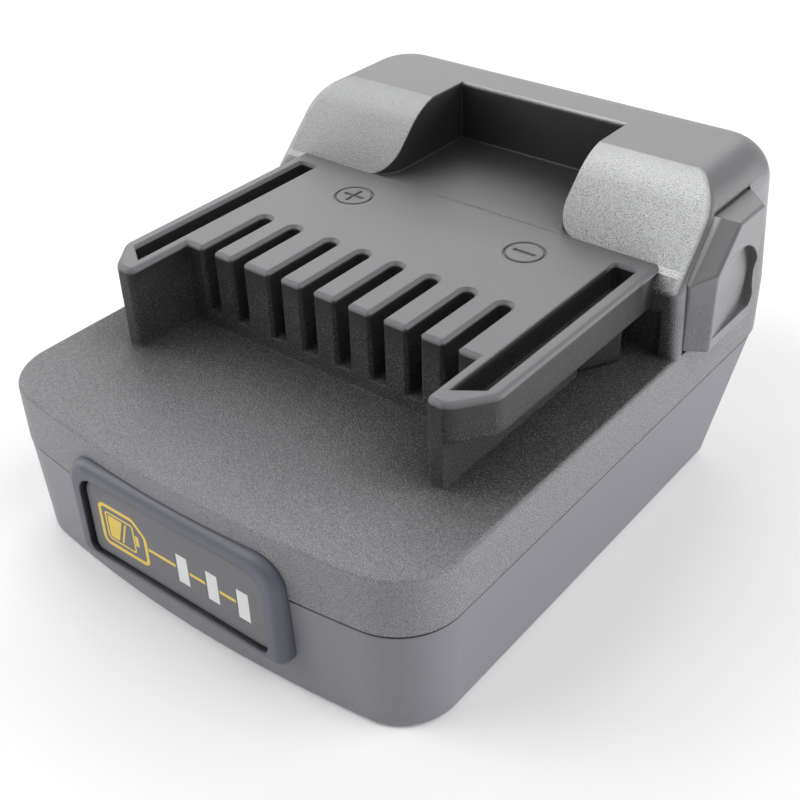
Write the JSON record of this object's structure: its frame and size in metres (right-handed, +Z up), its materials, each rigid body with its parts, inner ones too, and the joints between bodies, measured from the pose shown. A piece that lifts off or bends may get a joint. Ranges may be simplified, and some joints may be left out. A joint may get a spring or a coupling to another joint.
{
  "type": "tool battery adapter",
  "caption": "Adapter between a cordless tool and another system's battery pack: raised terminal rail, latch tower with a side button, front level gauge, and a receiver underneath.",
  "frame": {"origin": "centre of the bounding box's underside", "axes": "+X to the right seen from the gauge, +Y to the rear where the latch tower stands, +Z up"},
  "size_m": [0.079, 0.099, 0.0484],
  "materials": {
    "moulded_casing": "spark-eroded, dark grey",
    "smooth_casing": "fine satin, dark grey",
    "bezel_plastic": "smooth satin, dark blue grey",
    "panel_plastic": "matte, dark grey",
    "window_plastic": "satin, pale grey",
    "circuit_board": "solder mask, green",
    "lamp_plastic": "gloss, white",
    "switch_plastic": "matte, black",
    "wire_sleeve": "satin, red",
    "chip_package": "matte, black",
    "capacitor_can": "satin",
    "holder_plastic": "satin, black",
    "contact_metal": "bright",
    "slider_plastic": "satin, black",
    "spring_steel": "bright",
    "screw_steel": "dark zinc"
  },
  "bodies": {
    "casing": {"upper_housing": "moulded_casing", "lower_housing": "smooth_casing", "gauge_bezel": "bezel_plastic", "gauge_board": "circuit_board", "gauge_leds": "lamp_plastic", "switch_body": "switch_plastic", "gauge_wires": "wire_sleeve", "main_board": "circuit_board", "controller_chip": "chip_package", "power_transistors": "chip_package", "capacitors": "capacitor_can", "terminal_holder": "holder_plastic", "tool_terminals": "contact_metal", "receiver_block": "holder_plastic", "receiver_blades": "contact_metal", "latch_guide_plate": "slider_plastic", "latch_spring": "spring_steel", "housing_screws": "screw_steel", "guide_screws": "screw_steel", "board_screws": "screw_steel", "block_screws": "screw_steel"},
    "latch": {"latch_button": "moulded_casing", "latch_slider": "slider_plastic"},
    "gauge_rocker": {"gauge_panel": "panel_plastic", "level_windows": "window_plastic"},
    "switch_pusher": {"switch_plunger": "lamp_plastic"}
  },
  "joints": [
    {"name": "latch_press", "type": "slide", "parent": "casing", "child": "latch", "axis": [-1, 0, 0], "range_m": [0, 0.0032], "stiffness_N_per_m": 600, "springref_m": -0.004, "deforming": ["latch_spring"]},
    {"name": "gauge_press", "type": "hinge", "parent": "casing", "child": "gauge_rocker", "pos_m": [0.014, -0.0478, 0.01365], "axis": [0, 0, -1], "range_deg": [0, 1.2], "stiffness_Nm_per_rad": 1, "springref_deg": -1.15},
    {"name": "switch_press", "type": "slide", "parent": "casing", "child": "switch_pusher", "axis": [0, 1, 0], "range_m": [0, 0.00055]}
  ],
  "couplings": [
    {"joint": "switch_press", "follows": "gauge_press", "m_per_rad": 0.0251}
  ]
}
